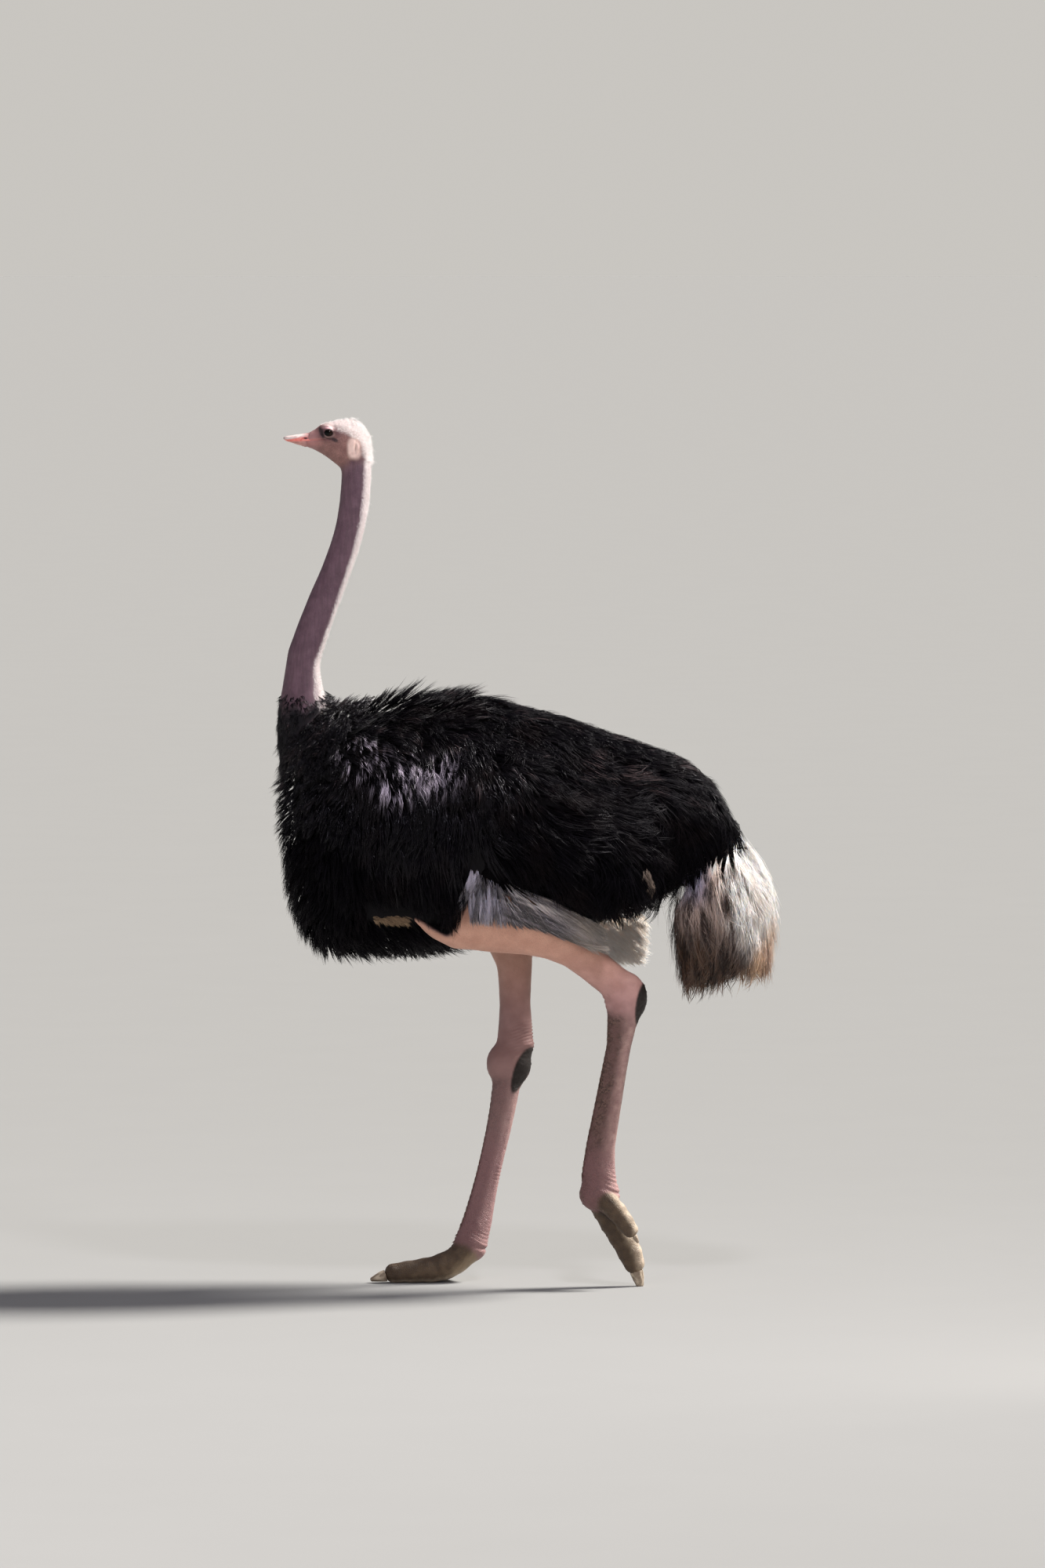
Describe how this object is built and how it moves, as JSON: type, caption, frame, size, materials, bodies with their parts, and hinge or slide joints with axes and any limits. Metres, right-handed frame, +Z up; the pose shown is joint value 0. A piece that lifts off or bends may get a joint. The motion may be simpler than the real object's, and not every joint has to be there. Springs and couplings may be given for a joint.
{
  "type": "male ostrich",
  "caption": "Life-size still model of a male ostrich in mid-stride, black-feathered, with a long bare neck, white tail plumes and bare legs.",
  "frame": {"origin": "middle of the bounding box, on the floor that the feet stand on", "axes": "+Z up; the bird faces -X and its left side is -Y; +X points to its tail"},
  "size_m": [1.261, 0.5942, 2.2195],
  "materials": {
    "black_plumage": "satin",
    "white_plumage": "matte",
    "neck_skin": "matte",
    "head_skin": "matte",
    "leg_skin": "satin",
    "bill_horn": "satin",
    "claw_horn": "satin",
    "eye": "gloss"
  },
  "bodies": {
    "root": {"trunk": "black_plumage", "tail": "white_plumage", "wing_left": "black_plumage", "wing_right": "black_plumage", "primaries_left": "white_plumage", "primaries_right": "white_plumage", "neck_base": "black_plumage", "neck_lower": "neck_skin", "neck_middle": "neck_skin", "neck_upper": "neck_skin", "head": "head_skin", "upper_bill": "bill_horn", "lower_bill": "bill_horn", "eye_left": "eye", "eye_right": "eye", "ear_left": "head_skin", "ear_right": "head_skin", "drumstick_left": "leg_skin", "hock_left": "leg_skin", "tarsus_left": "leg_skin", "knuckle_left": "leg_skin", "inner_toe_left": "leg_skin", "outer_toe_left": "leg_skin", "inner_claw_left": "claw_horn", "outer_claw_left": "claw_horn", "drumstick_right": "leg_skin", "hock_right": "leg_skin", "tarsus_right": "leg_skin", "knuckle_right": "leg_skin", "inner_toe_right": "leg_skin", "outer_toe_right": "leg_skin", "inner_claw_right": "claw_horn", "outer_claw_right": "claw_horn"}
  },
  "joints": []
}
